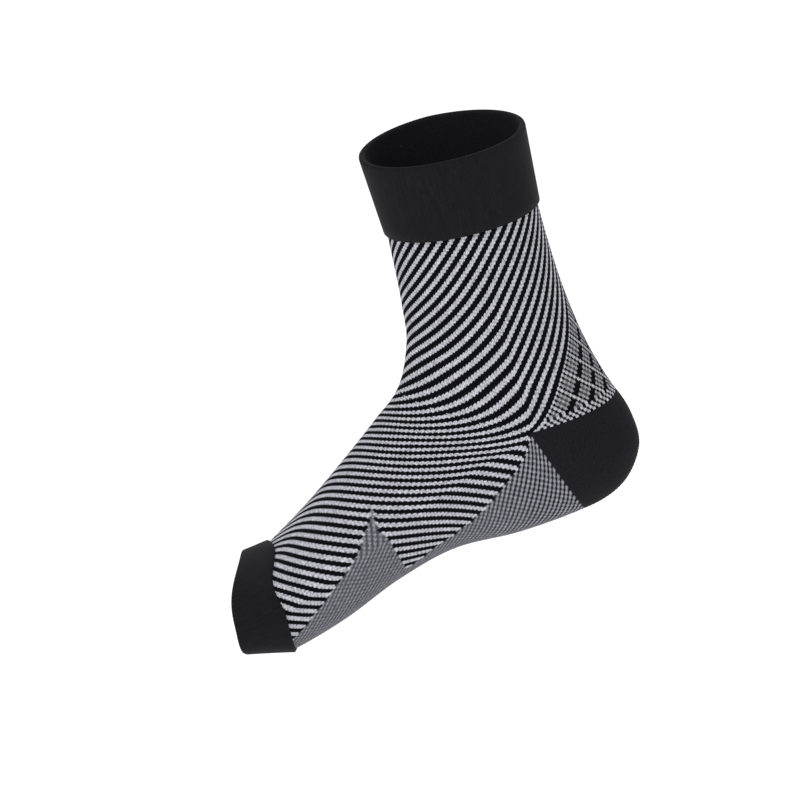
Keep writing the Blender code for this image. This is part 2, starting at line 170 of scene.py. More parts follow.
def between(places, values, slopes, at):
    """The rings at many places, on smooth curves through the given ones."""
    i = np.clip(np.searchsorted(places, at, side="right") - 1, 0, len(places) - 2)
    step = places[i + 1] - places[i]
    share = ((at - places[i]) / step)[:, None]
    first, second = slopes[i] * step[:, None], slopes[i + 1] * step[:, None]
    rise = values[i + 1] - values[i]
    square_term = 3 * rise - 2 * first - second
    cube_term = first + second - 2 * rise
    return values[i] + first * share + square_term * share**2 + cube_term * share**3


def even_angle(reach, half, share):
    """The angle on a quarter ellipse that lies this share of its length from the side."""
    spare = half - reach
    length = (reach + spare / 2) * np.pi / 2 * share
    angle = share * np.pi / 2
    for _ in range(ANGLE_ROUNDS):
        covered = reach * angle + spare * (angle / 2 - np.sin(2 * angle) / 4)
        angle = angle - (covered - length) / (reach + spare * np.sin(angle) ** 2)
    return np.clip(angle, 0, np.pi / 2)


def on_rings(rings, needle):
    """Points of the fabric's outer face, one for each ring and needle."""
    needle = (needle + HALF_NEEDLES) % (2 * HALF_NEEDLES) - HALF_NEEDLES
    count = np.abs(needle)
    ahead = rings[:, AHEAD] * HALF_NEEDLES
    instep = count <= ahead
    share = np.where(instep, 1 - count / ahead, (count - ahead) / (HALF_NEEDLES - ahead))
    square = np.where(instep, 2.0, rings[:, SQUARE])
    bow = np.where(instep, rings[:, BOW], 0.0)
    side, half = rings[:, SIDE], rings[:, HALF]
    along = np.where(instep[:, None], rings[:, FRONT], rings[:, BACK]) - side
    angle = even_angle(np.linalg.norm(along, axis=1), half, share)
    inward, outward = np.sin(angle), np.cos(angle)
    size = (inward**square + outward**square) ** (-1 / square)
    near = np.sign(needle) * outward * size
    x, z = (side + along * (inward * size)[:, None]).T
    x = x - bow * np.sin(2 * angle) ** 2 - rings[:, SLANT] * near
    return np.stack([x, -near * half, z], axis=1)


def raised(surface, place, needle, level, step):
    """Points at a level above a surface, which is a function of a place and a needle."""
    across = surface(place, needle + NEEDLE_STEP) - surface(place, needle - NEEDLE_STEP)
    along = surface(place + step, needle) - surface(place - step, needle)
    normal = np.cross(along, across)
    normal /= np.linalg.norm(normal, axis=1)[:, None]
    return surface(place, needle) + normal * level[:, None]


# A knit stitch: its two legs meet at the bottom of a V, a quarter of it in each column
STITCH_COLUMNS, STITCH_ROWS = 4, 2
STITCH_DIP = (1.0, 0.5, 0.0, 0.5)
STITCH_LEVELS = np.array([(-1.0, -0.6), (-0.1, 1.0), (-0.7, 0.1), (-0.1, 1.0)])
DIP = 0.3  # of a course
RELIEF = 0.00013
BAND_RELIEF = 0.00008
COLUMNS = NEEDLES * STITCH_COLUMNS


def stitch_dips(columns):
    return np.array(STITCH_DIP)[columns % STITCH_COLUMNS] * DIP


def on_leg(course, needle):
    return on_rings(between(LEG_COURSES, LEG, LEG_SLOPES, course), needle)


def on_foot(course, needle):
    return on_rings(between(FOOT_COURSES, FOOT, FOOT_SLOPES, course), needle)


def on_heel(share, needle):
    return on_rings(between(HEEL_ROUNDS, HEEL, HEEL_SLOPES, share), needle)


def leg_fabric(course, needle, level):
    """Points over the upper sleeve, whose last stitches lap onto the lower one."""
    points = np.empty((len(course), 3))
    for surface, chosen in ((on_leg, course <= 0), (on_foot, course > 0)):
        part = course[chosen], needle[chosen], level[chosen]
        points[chosen] = raised(surface, *part, COURSE_STEP)
    return points


def foot_fabric(course, needle, level):
    return raised(on_foot, course, needle, level, COURSE_STEP)


def heel_fabric(share, needle, level):
    return raised(on_heel, share, needle, level, HEEL_STEP)


def chart(first, last):
    """Needle from the front mid line, needle along the stripes and course of each stitch."""
    column = np.arange(-HALF_NEEDLES, HALF_NEEDLES)
    needle = np.where(column < 0, -1 - column, column)
    along = np.where(column < -STRIPE_TURN, needle - 2 * STRIPE_TURN, column)
    courses = np.arange(first, last)
    return np.meshgrid(needle, courses) + np.meshgrid(along, courses)[:1]


# Which stitches of the chart each zone takes
LEG_NEEDLE, LEG_COURSE, LEG_ALONG = chart(CUFF_COURSE, 0)
FOOT_NEEDLE, FOOT_COURSE, FOOT_ALONG = chart(0, TOE_COURSE)
PANEL_STITCHES = LEG_NEEDLE + LEG_COURSE >= CORNER_NEEDLE
FRONT_SLOPE = (GUSSET_END_NEEDLE - GUSSET_NEEDLE) / (TOE_COURSE - GUSSET_COURSE)
REAR_SLOPE = (SOLE_EDGE_COURSES[-1] - GUSSET_COURSE) / (GUSSET_SHOULDER - GUSSET_NEEDLE)
needle_middle, course_middle = FOOT_NEEDLE + 0.5, FOOT_COURSE + 0.5
past_edge = needle_middle > np.interp(course_middle, SOLE_EDGE_COURSES, SOLE_EDGE_NEEDLES)
past_front = needle_middle > GUSSET_NEEDLE + FRONT_SLOPE * (course_middle - GUSSET_COURSE)
rear_course = GUSSET_COURSE + REAR_SLOPE * (needle_middle - GUSSET_NEEDLE)
past_rear = course_middle > np.minimum(rear_course, SOLE_EDGE_COURSES[-1])
SOLE_STITCHES = past_front & (past_rear | (past_edge & (course_middle < SOLE_EDGE_COURSES[-1])))

# Colours of the chart, 1 for white and 0 for black
STRIPE_STITCHES = 2
LATTICE = 8
LATTICE_START = 2
CELL_WHITE, CELL_BLACK = 0.65, 0.12
BORDER_COURSES = 3
INSIDE_SHADE = 0.5
BLEND_COURSES = (8, 40)  # where the birdseye's two yarns begin to blend, and where they stay so
BLEND = 0.22
STRIPE_JOINING, CHECK_JOINING = 1.0, 0.6  # how fully stitches of one colour run together


def stripes(along, course):
    """Slanting stripes, black and white by turns."""
    return (along + course) % (2 * STRIPE_STITCHES) < STRIPE_STITCHES


def diamonds(needle, course):
    """Thin white lines down to the back and one along the edge, with checked cells between."""
    line = (needle - course - LATTICE_START) % LATTICE
    gap = (needle + course - CORNER_NEEDLE) % LATTICE
    check = np.where(line % 2 == 0, CELL_WHITE, CELL_BLACK)
    cell = (line > 1) & (line < LATTICE - 1) & (gap > 1) & (gap < LATTICE - 1)
    lattice = np.where(line == 0, 1.0, check * cell)
    bordered = np.where(course >= -BORDER_COURSES, (needle + course) % 2, lattice)
    return np.where(needle + course == CORNER_NEEDLE, 1.0, bordered)


def birdseye(needle, course):
    """Checks of one stitch, whose two yarns blend away from the heel pocket."""
    blend = np.interp(course, BLEND_COURSES, (0, BLEND))
    return blend + (needle + course) % 2 * (1 - 2 * blend)


LEG_STRIPES, PANEL = stripes(LEG_ALONG, LEG_COURSE), diamonds(LEG_NEEDLE, LEG_COURSE)
FOOT_STRIPES, SOLE = stripes(FOOT_ALONG, FOOT_COURSE), birdseye(FOOT_NEEDLE, FOOT_COURSE)
LEG_COLOURS = np.where(PANEL_STITCHES, PANEL, LEG_STRIPES)
FOOT_COLOURS = np.where(SOLE_STITCHES, SOLE, FOOT_STRIPES)
PANEL_EDGE = LEG_NEEDLE + LEG_COURSE == CORNER_NEEDLE
STRIPED = np.vstack([~PANEL_STITCHES | PANEL_EDGE, ~SOLE_STITCHES])
COLOURS = np.vstack([LEG_COLOURS, FOOT_COLOURS]).astype(float)
EASE_COURSES = (CUFF_COURSE, -8, 14, 44, 66)
EASE = (0.7, 0.7, 0.4, 0.45, 0.75)  # how far a stripe's steps are drawn out straight
WHITE_SPREAD_COURSES = (CUFF_COURSE, 20, TOE_COURSE)
WHITE_SPREAD = (-0.13, -0.09, 0.04)  # how much wider than the chart's the white stripes are


def around(cells):
    """The four stitches round each corner of the chart."""
    ringed = np.hstack([cells[:, -1:], cells, cells[:, :1]])
    tall = np.vstack([ringed[:1], ringed, ringed[-1:]])
    return tall[:-1, :-1], tall[:-1, 1:], tall[1:, :-1], tall[1:, 1:]


def stripe_drift():
    """How far each corner of the chart moves in needles and courses, where stripes meet."""
    above_before, above, before, here = around(COLOURS)
    across = (above + here - above_before - before) / 2
    down = (before + here - above_before - above) / 2
    middle = (above_before + above + before + here) / 4
    course = np.arange(CUFF_COURSE, TOE_COURSE + 1)[:, None]
    needle = np.abs(np.arange(-HALF_NEEDLES, HALF_NEEDLES + 1))[None, :]
    spread = np.interp(course, WHITE_SPREAD_COURSES, WHITE_SPREAD)
    pull = 2 * np.interp(course, EASE_COURSES, EASE) * (0.5 - middle) - spread
    free = np.min(around(STRIPED.astype(int)), axis=0).astype(bool)
    free &= (course > CUFF_COURSE) & (course < TOE_COURSE)
    free &= (course != 0) | (needle < CORNER_NEEDLE)
    return np.stack([across, down]) * pull * free


STRIPE_DRIFT = stripe_drift()


def drift(course, needle):
    """The drift at any place of the chart, from the corners round it."""
    row, column = course - CUFF_COURSE, needle + HALF_NEEDLES
    top, left = np.floor(row).astype(int), np.floor(column).astype(int)
    low, far = row - top, column - left
    bottom = np.minimum(top + 1, STRIPE_DRIFT.shape[1] - 1)
    right = np.minimum(left + 1, STRIPE_DRIFT.shape[2] - 1)
    first = STRIPE_DRIFT[:, top, left] * (1 - far) + STRIPE_DRIFT[:, top, right] * far
    last = STRIPE_DRIFT[:, bottom, left] * (1 - far) + STRIPE_DRIFT[:, bottom, right] * far
    return first * (1 - low) + last * low


def group_node(name, inputs, outputs):
    """An empty shader group with its sockets, and its two end nodes."""
    group = bpy.data.node_groups.new(name, "ShaderNodeTree")
    for socket, kind, value in inputs:
        made = group.interface.new_socket(socket, in_out="INPUT", socket_type=kind)
        made.default_value = value
    for socket, kind in outputs:
        group.interface.new_socket(socket, in_out="OUTPUT", socket_type=kind)
    return group, group.nodes.new("NodeGroupInput"), group.nodes.new("NodeGroupOutput")


def add_node(tree, kind, links=(), **settings):
    """A node with its settings made and its numbered or named inputs linked or filled."""
    node = tree.nodes.new(kind)
    for name, value in settings.items():
        setattr(node, name, value)
    for socket, source in dict(links).items():
        if hasattr(source, "is_output"):
            tree.links.new(source, node.inputs[socket])
        else:
            node.inputs[socket].default_value = source
    return node


def calc(tree, operation, *values):
    return add_node(tree, "ShaderNodeMath", enumerate(values), operation=operation).outputs[0]


def remap(tree, value, from_low, from_high, to_low, to_high):
    """A value carried from one range to another, and kept inside it."""
    links = enumerate((value, from_low, from_high, to_low, to_high))
    return add_node(tree, "ShaderNodeMapRange", links).outputs[0]


def mixed(tree, factor, first, second, blend="MIX"):
    """Two colours mixed by a factor."""
    links = {0: factor, 6: first, 7: second}
    return add_node(tree, "ShaderNodeMix", links, data_type="RGBA", blend_type=blend).outputs[2]


def yarn_group():
    """Two yarns of a knitted fabric: heather, painted groove shade, lint and the height of fibres."""
    tree, entry, end = group_node(
        "knitting yarn",
        [
            ("Black yarn", "NodeSocketColor", (0.01, 0.01, 0.012, 1)),
            ("White yarn", "NodeSocketColor", (0.6, 0.6, 0.65, 1)),
            ("Heather", "NodeSocketFloat", 0.3),
            ("Groove shade", "NodeSocketFloat", 0.5),
            ("Lint", "NodeSocketFloat", 0.1),
        ],
        [("Colour", "NodeSocketColor"), ("Fibres", "NodeSocketFloat")],
    )
    place = add_node(tree, "ShaderNodeTexCoord").outputs["Object"]
    white = add_node(tree, "ShaderNodeAttribute", attribute_name="white").outputs["Fac"]
    tone = add_node(tree, "ShaderNodeAttribute", attribute_name="tone").outputs["Fac"]
    level = add_node(tree, "ShaderNodeAttribute", attribute_name="level").outputs["Fac"]
    flecks = add_node(tree, "ShaderNodeTexNoise", {"Vector": place, "Scale": 1400.0, "Detail": 3.0})
    fibres = add_node(tree, "ShaderNodeTexNoise", {"Vector": place, "Scale": 5200.0, "Detail": 2.0})
    lint = add_node(tree, "ShaderNodeTexNoise", {"Vector": place, "Scale": 420.0, "Detail": 1.0})
    yarn = mixed(tree, white, entry.outputs["Black yarn"], entry.outputs["White yarn"])
    mottle = calc(tree, "ADD", calc(tree, "MULTIPLY", flecks.outputs[0], 1.2), tone)
    mottle = calc(tree, "MULTIPLY", calc(tree, "SUBTRACT", mottle, 1.1), entry.outputs["Heather"])
    # Painted shade: the yarn's colour is darkened where the stitch relief dips into its grooves; light
    # below holds this shade and the heather
    shade = remap(tree, level, -1.0, 0.6, 1.0, 0.0)
    shade = calc(tree, "MULTIPLY", shade, entry.outputs["Groove shade"])
    light = calc(tree, "SUBTRACT", calc(tree, "ADD", mottle, 1.0), shade)
    light = calc(tree, "MAXIMUM", light, 0.02)
    light = add_node(tree, "ShaderNodeCombineColor", [(0, light), (1, light), (2, light)])
    shaded = mixed(tree, 1.0, yarn, light.outputs[0], "MULTIPLY")
    specks = remap(tree, lint.outputs[0], 0.76, 0.82, 0.0, 1.0)
    specks = calc(tree, "MULTIPLY", specks, entry.outputs["Lint"])
    colour = mixed(tree, specks, shaded, (0.35, 0.36, 0.36, 1))
    tree.links.new(colour, end.inputs["Colour"])
    tree.links.new(fibres.outputs[0], end.inputs["Fibres"])
    return tree


YARN = yarn_group()


def yarn_finish(name, black, white, heather, groove, lint, sheen, specular):
    """A knitted finish from the shared yarn group."""
    material = bpy.data.materials.new(name)
    material.use_nodes = True
    tree = material.node_tree
    shader = tree.nodes["Principled BSDF"]
    yarn = add_node(tree, "ShaderNodeGroup", node_tree=YARN)
    yarn.inputs["Black yarn"].default_value = (*black, 1)
    yarn.inputs["White yarn"].default_value = (*white, 1)
    yarn.inputs["Heather"].default_value = heather
    yarn.inputs["Groove shade"].default_value = groove
    yarn.inputs["Lint"].default_value = lint
    bump = add_node(tree, "ShaderNodeBump", {"Strength": 0.5, "Distance": 0.0001})
    tree.links.new(yarn.outputs["Fibres"], bump.inputs["Height"])
    tree.links.new(bump.outputs["Normal"], shader.inputs["Normal"])
    tree.links.new(yarn.outputs["Colour"], shader.inputs["Base Color"])
    rough = remap(tree, yarn.outputs["Fibres"], 0.2, 0.8, 0.8, 0.95)
    tree.links.new(rough, shader.inputs["Roughness"])
    shader.inputs["Specular IOR Level"].default_value = specular
    shader.inputs["Sheen Weight"].default_value = sheen
    shader.inputs["Sheen Roughness"].default_value = 0.4
    shader.inputs["Sheen Tint"].default_value = (0.9, 0.9, 1.0, 1)
    return material


WHITE = (0.53, 0.53, 0.585)
# The sole's white is the stripes' white yarn made darker: partly its black floats showing through,
# partly painted shade in its grooves
SOLE_WHITE = (0.33, 0.33, 0.375)
BLACK = (0.004, 0.004, 0.006)
SOLE_BLACK = (0.012, 0.012, 0.015)
HEEL_BLACK = (0.011, 0.0105, 0.0135)
BAND_BLACK = (0.0095, 0.0095, 0.012)
patterned = {"lint": 0.0, "sheen": 0.0, "specular": 0.05}
plain = {"heather": 0.4, "groove": 0.4, "sheen": 0.03, "specular": 0.1}
STRIPED_YARN = yarn_finish("striped_yarn", BLACK, WHITE, heather=0.6, groove=0.5, **patterned)
DIAMOND_YARN = yarn_finish("diamond_yarn", BLACK, WHITE, heather=0.5, groove=0.45, **patterned)
BIRDSEYE_YARN = yarn_finish(
    "birdseye_yarn", SOLE_BLACK, SOLE_WHITE, heather=0.5, groove=0.45, **patterned
)
HEEL_YARN = yarn_finish("black_heel_yarn", HEEL_BLACK, WHITE, lint=0.03, **plain)
BAND_YARN = yarn_finish("black_band_yarn", BAND_BLACK, WHITE, lint=0.04, **plain)

dice = np.random.default_rng(7)
OUTER_MAP, INNER_MAP, RIM_MAP = (0.0, 0.70), (0.72, 0.96), (0.975, 0.998)
RIMS_IN_ROW = 500
RIM_MAP_REACH = 0.4  # of a rim's own place on the map


def add_piece(name, points, faces, maps, white, level, smooth, material, node):
    """A knitted piece from its points and its groups of faces, with the colour of each face."""
    mesh = bpy.data.meshes.new(name)
    mesh.from_pydata(points, [], [face for group in faces for face in group])
    loops = np.concatenate([np.reshape(places, (-1, 2)) for places in maps])
    mesh.uv_layers.new(name="OFBake").uv.foreach_set("vector", loops.ravel())
    count = len(mesh.polygons)
    tone = dice.random(count)
    layers = (("white", "FACE", white), ("tone", "FACE", tone), ("level", "POINT", level))
    for label, domain, values in layers:
        layer = mesh.attributes.new(label, "FLOAT", domain)
        layer.data.foreach_set("value", np.asarray(values, np.float32))
    mesh.polygons.foreach_set("use_smooth", smooth)
    mesh.materials.append(material)
    piece = bpy.data.objects.new(name, mesh)
    bpy.context.scene.collection.objects.link(piece)
    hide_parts(node)
    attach(piece, "root")
    return piece


def quads(rows, columns, width):
    """Corners of grid quads as rows and columns, in the order of an outer face."""
    down = np.stack([rows, rows + 1, rows + 1, rows], axis=1)
    across = np.stack([columns, columns, columns + 1, columns + 1], axis=1)
    return down, across, across % width if width else across


def rim_maps(count, sides):
    """A small place on the map for each rim face."""
    turns = np.arange(sides) / sides * 2 * np.pi
    corners = np.stack([np.cos(turns), np.sin(turns)], axis=1) * RIM_MAP_REACH + 0.5
    k = np.arange(count)
    rows = count // RIMS_IN_ROW + 1
    low, high = RIM_MAP
    size = np.array([1 / RIMS_IN_ROW, (high - low) / rows])
    start = np.stack([k % RIMS_IN_ROW, k // RIMS_IN_ROW], axis=1) * size + np.array([0, low])
    return start[:, None] + corners * size


def used_by(cells):
    """The grid corners that marked cells touch, on a grid that closes round on itself."""
    rows, columns = cells.shape
    used = np.zeros((rows + 1, columns + 1), bool)
    for down in (0, 1):
        for across in (0, 1):
            used[down : rows + down, across : columns + across] |= cells
    used[:, 0] |= used[:, -1]
    return used[:, :-1]


def slanted(colours, cells, joining):
    """The colour of each fine quad, where stitches of one colour run together down to the back."""
    fine = np.repeat(np.repeat(colours, STITCH_ROWS, 0), STITCH_COLUMNS, 1).astype(float)
    near = np.arange(NEEDLES) >= HALF_NEEDLES

    def beside_it(steps, axis):
        moved = np.roll(colours, steps, axis)
        return np.where(np.roll(cells, steps, axis), moved, colours)

    above, below, before, after = (beside_it(steps, axis) for axis in (0, 1) for steps in (1, -1))
    last_row, last_column = STITCH_ROWS - 1, STITCH_COLUMNS - 1
    corners = (
        (0, above, last_column, after, near),
        (last_row, below, 0, before, near),
        (0, above, 0, before, ~near),
        (last_row, below, last_column, after, ~near),
    )
    for row, upright, column, beside, side in corners:
        joined = colours + joining * (np.median([colours, upright, beside], axis=0) - colours)
        fine[row::STITCH_ROWS, column::STITCH_COLUMNS][:, side] = joined[:, side]
    return fine


def knitted_zone(name, cells, colours, first, fabric, material, node):
    """A zone of the chart: every stitch on its outer face, a plain inner face and its rims."""
    fine = np.repeat(np.repeat(cells, STITCH_ROWS, 0), STITCH_COLUMNS, 1)
    outer_used, inner_used = used_by(fine), used_by(cells)
    outer_index = np.cumsum(outer_used).reshape(outer_used.shape) - 1
    inner_index = np.cumsum(inner_used).reshape(inner_used.shape) - 1 + outer_used.sum()

    row, column = np.nonzero(outer_used)
    needle = column / STITCH_COLUMNS - HALF_NEEDLES
    course = row / STITCH_ROWS + first
    ends = np.minimum(course - CUFF_COURSE, TOE_COURSE - course)
    heel_side = np.abs(needle) >= CORNER_NEEDLE
    ends = np.where(heel_side, np.minimum(ends, np.abs(course)), ends)
    dip = stitch_dips(column) * np.clip(ends, 0, 1)
    level = STITCH_LEVELS[column % STITCH_COLUMNS, row % STITCH_ROWS]
    aside, down = drift(course, needle)
    outer = fabric(course + dip + down, needle + aside, RELIEF * level)
    inner_row, inner_column = np.nonzero(inner_used)
    inner_course = (inner_row + first).astype(float)
    inner_needle = (inner_column - HALF_NEEDLES).astype(float)
    inner = fabric(inner_course, inner_needle, np.full(len(inner_row), -WALL))
    points = np.concatenate([outer, inner])

    rows, columns = np.nonzero(fine)
    down, across, wrapped = quads(rows, columns, COLUMNS)
    faces = [outer_index[down, wrapped].tolist()]
    low, high = OUTER_MAP
    tall = fine.shape[0]
    maps = [np.stack([across / COLUMNS, low + down / tall * (high - low)], axis=2)]
    joining = STRIPE_JOINING if node == "striped_sleeve" else CHECK_JOINING
    white = [slanted(colours, cells, joining)[rows, columns]]
    rows, columns = np.nonzero(cells)
    down, across, wrapped = (grid[:, ::-1] for grid in quads(rows, columns, NEEDLES))
    faces.append(inner_index[down, wrapped].tolist())
    low, high = INNER_MAP
    maps.append(np.stack([across / NEEDLES, low + down / cells.shape[0] * (high - low)], axis=2))
    white.append(colours[rows, columns] * INSIDE_SHADE)

    bare = ~cells
    padded = np.pad(bare, ((1, 1), (0, 0)), constant_values=True)
    steps, halves = np.arange(STITCH_COLUMNS + 1), np.arange(STITCH_ROWS + 1)
    flat, upright = np.zeros_like(steps), np.zeros_like(halves)
    sides = (
        (padded[:-2], flat, steps, (0, 0), (1, 0)),
        (padded[2:], flat + STITCH_ROWS, steps[::-1], (1, 1), (0, 1)),
        (np.roll(bare, 1, 1), halves[::-1], upright, (0, 1), (0, 0)),
        (np.roll(bare, -1, 1), halves, upright + STITCH_COLUMNS, (1, 0), (1, 1)),
    )
    for outside, fine_down, fine_across, inner_down, inner_across in sides:
        rows, columns = np.nonzero(cells & outside)
        down = rows[:, None] * STITCH_ROWS + fine_down
        across = columns[:, None] * STITCH_COLUMNS + fine_across
        rim = outer_index[down, across % COLUMNS]
        across = columns[:, None] + np.array(inner_across)
        back = inner_index[rows[:, None] + np.array(inner_down), across % NEEDLES]
        faces.append(np.hstack([rim, back]).tolist())
        maps.append(rim_maps(len(rows), rim.shape[1] + 2))
        white.append(colours[rows, columns])
    smooth = np.zeros(sum(len(group) for group in faces), bool)
    smooth[: len(faces[0]) + len(faces[1])] = True
    level = np.concatenate([level, np.zeros(len(inner))])
    white = np.concatenate(white)
    return add_piece(name, points, faces, maps, white, level, smooth, material, node)


def without_doubles(faces, maps):
    """Faces whose merged corners are left out, and faces with too few corners dropped."""
    kept, places = [], []
    for face, corners in zip(faces, maps):
        distinct = [i for i in range(len(face)) if face[i] != face[i - 1]]
        if len({face[i] for i in distinct}) >= 3:
            kept.append([face[i] for i in distinct])
            places.append(corners[distinct])
    return kept, np.concatenate(places)


HEEL_MERGE = 0.2  # courses from a turned course's end at which it closes
HEEL_CLEARANCE = 0.02  # needles kept clear of the zones beside the pocket


def heel_grid(rows_in_course, columns_in_needle):
    """Places round the heel pocket, whose courses turn back along a line from each corner."""
    rows = np.arange(HEEL_COURSES * rows_in_course + 1)
    columns = np.arange(NEEDLES // 2 * columns_in_needle + 1)
    column, row = np.meshgrid(columns, rows)
    course = row / rows_in_course
    needle = CORNER_NEEDLE + column / columns_in_needle
    from_corner = np.minimum(needle - CORNER_NEEDLE, NEEDLES - CORNER_NEEDLE - needle)
    count = HEEL_COURSES * np.clip(from_corner / HEEL_TURN, 0, 1)
    turned = from_corner < HEEL_TURN
    lower = course > HEEL_COURSES / 2
    left = np.where(lower, HEEL_COURSES - course, course)
    merged = turned & (left > count / 2 - HEEL_MERGE)
    ends = np.where(turned, np.minimum(left, count / 2 - left), left)
    dip = stitch_dips(column * STITCH_COLUMNS // columns_in_needle) * np.clip(ends, 0, 1)
    from_top = np.where(lower & turned, course + dip - HEEL_COURSES + count, course + dip)
    share = from_top / np.maximum(count, 1e-6)
    share = np.where(merged, 0.5, np.clip(share, 0, 1))
    index = np.arange(row.size).reshape(row.shape)
    middle = index[HEEL_COURSES * rows_in_course // 2]
    index = np.where(merged, middle[column], index)
    first = CORNER_NEEDLE + HEEL_CLEARANCE
    return column, row, share, np.clip(needle, first, NEEDLES - first), index


def heel_piece(name, material, node):
    """The black heel pocket, from its upper edge round to its lower one."""
    column, row, share, needle, outer_index = heel_grid(STITCH_ROWS, STITCH_COLUMNS)
    level = STITCH_LEVELS[column % STITCH_COLUMNS, row % STITCH_ROWS]
    outer = heel_fabric(share.ravel(), needle.ravel(), RELIEF * level.ravel())
    inner_column, inner_row, inner_share, inner_needle, inner_index = heel_grid(1, 1)
    inner = heel_fabric(inner_share.ravel(), inner_needle.ravel(), np.full(inner_row.size, -WALL))
    inner_index = inner_index + row.size
    points = np.concatenate([outer, inner])
    level = np.concatenate([level.ravel(), np.zeros(len(inner))])
    groups, places, sizes = [], [], []
    for index, (low, high), outward in ((outer_index, OUTER_MAP, 1), (inner_index, INNER_MAP, -1)):
        tall, wide = index.shape[0] - 1, index.shape[1] - 1
        rows, columns = (grid.ravel() for grid in np.indices((tall, wide)))
        down, across, _ = (grid[:, ::outward] for grid in quads(rows, columns, 0))
        corners = np.stack([across / wide, low + down / tall * (high - low)], axis=2)
        faces, corners = without_doubles(index[down, across].tolist(), corners)
        groups.append(faces)
        places.append(corners)
        sizes.append(len(faces))
    steps = np.arange(STITCH_COLUMNS + 1)
    needles = np.arange(NEEDLES // 2)[:, None]
    for row_outer, row_inner, turn in ((0, 0, 1), (-1, -1, -1)):
        rim = outer_index[row_outer, needles * STITCH_COLUMNS + steps]
        back = inner_index[row_inner, needles + np.array([1, 0])]
        faces = np.hstack([rim, back])[:, ::turn]
        faces, corners = without_doubles(faces.tolist(), rim_maps(len(faces), faces.shape[1]))
        groups.append(faces)
        places.append(corners)
        sizes.append(len(faces))
    smooth = np.zeros(sum(sizes), bool)
    smooth[: sizes[0] + sizes[1]] = True
    white = np.zeros(len(smooth))
    used = np.unique(np.concatenate([face for group in groups for face in group]))
    place = np.zeros(len(points), int)
    place[used] = np.arange(len(used))
    groups = [[place[face].tolist() for face in group] for group in groups]
    return add_piece(name, points[used], groups, places, white, level[used], smooth, material, node)


def cuff_rim():
    """The ring of the cuff's top, above and behind its seam."""
    rim = LEG[0].copy()
    side = LEG[0][SIDE] + (CUFF_LEAN, CUFF_HEIGHT)
    for end in (FRONT, BACK):
        rim[end] = side + CUFF_FLARE * (LEG[0][end] - LEG[0][SIDE])
    rim[SIDE] = side
    rim[HALF] *= CUFF_FLARE
    return rim


def toe_rim():
    """The ring of the toe band's front edge, whose sides lead."""
    seam = FOOT[-1]
    rim = seam.copy()
    rim[SIDE] -= (TOE_BAND_SIDE_WIDTH, TOE_BAND_DROP)
    ends = ((FRONT, TOE_BAND_TOP_WIDTH, TOE_BAND_RISE), (BACK, TOE_BAND_WIDTH, TOE_BAND_TAPER))
    for end, width, share in ends:
        rise = seam[end][1] - seam[SIDE][1]
        rim[end] = seam[end][0] - width, rim[SIDE][1] + share * rise
    rim[HALF] *= TOE_BAND_NARROWING
    rim[SLANT] = TOE_BAND_SLANT
    rim[BOW] = TOE_BAND_BOW
    rim[SQUARE] = TOE_BAND_SQUARE
    return rim


FOLD_STEPS = 6
ROLL_STEPS = 12
TUCK = 0.0004  # how far a band's edge laps over the fabric at its seam
TOE_EDGE = 0.0003  # from its seam, where the toe band's outer face ends
DEEPEST_DIP = 0.0015  # of a stitch in a band


def folded_profile(width, stand, stitches, inner_rows, seam_edge):
    """A band's section: its inner face, the fold at its rim, its outer face and its seam edge."""
    radius = (stand + WALL) / 2
    inner = [(along, -WALL) for along in np.linspace(0, width - radius, inner_rows + 1)]
    turns = np.linspace(-np.pi / 2, np.pi / 2, FOLD_STEPS + 1)[1:-1]
    centre = stand - radius
    fold = [(width - radius + radius * np.cos(t), centre + radius * np.sin(t)) for t in turns]
    start = seam_edge[0][0]
    rows = stitches * STITCH_ROWS
    outer = [(along, stand) for along in np.linspace(width - radius, start, rows + 1)]
    profile = np.array(inner + fold + outer[:-1] + seam_edge)
    knitted = np.arange(len(profile)) >= len(inner)
    knitted[-1] = False
    return profile, knitted


def rolled_edge():
    """The cuff's rolled lower edge, from its outer face down to its seam."""
    swell = np.linspace(0, np.pi, ROLL_STEPS)
    rise = (1 - np.cos(swell)) / 2
    along = ROLL_HEIGHT - (ROLL_HEIGHT - ROLL_TURN) * swell / np.pi
    roll = list(zip(along, CUFF_STAND + (ROLL_STAND - CUFF_STAND) * rise))
    for turn in np.linspace(0, np.pi / 2, ROLL_STEPS + 1)[1:]:
        roll.append((ROLL_TURN * (1 - np.sin(turn)), ROLL_STAND * np.cos(turn)))
    return roll + [(-TUCK, -TUCK)]


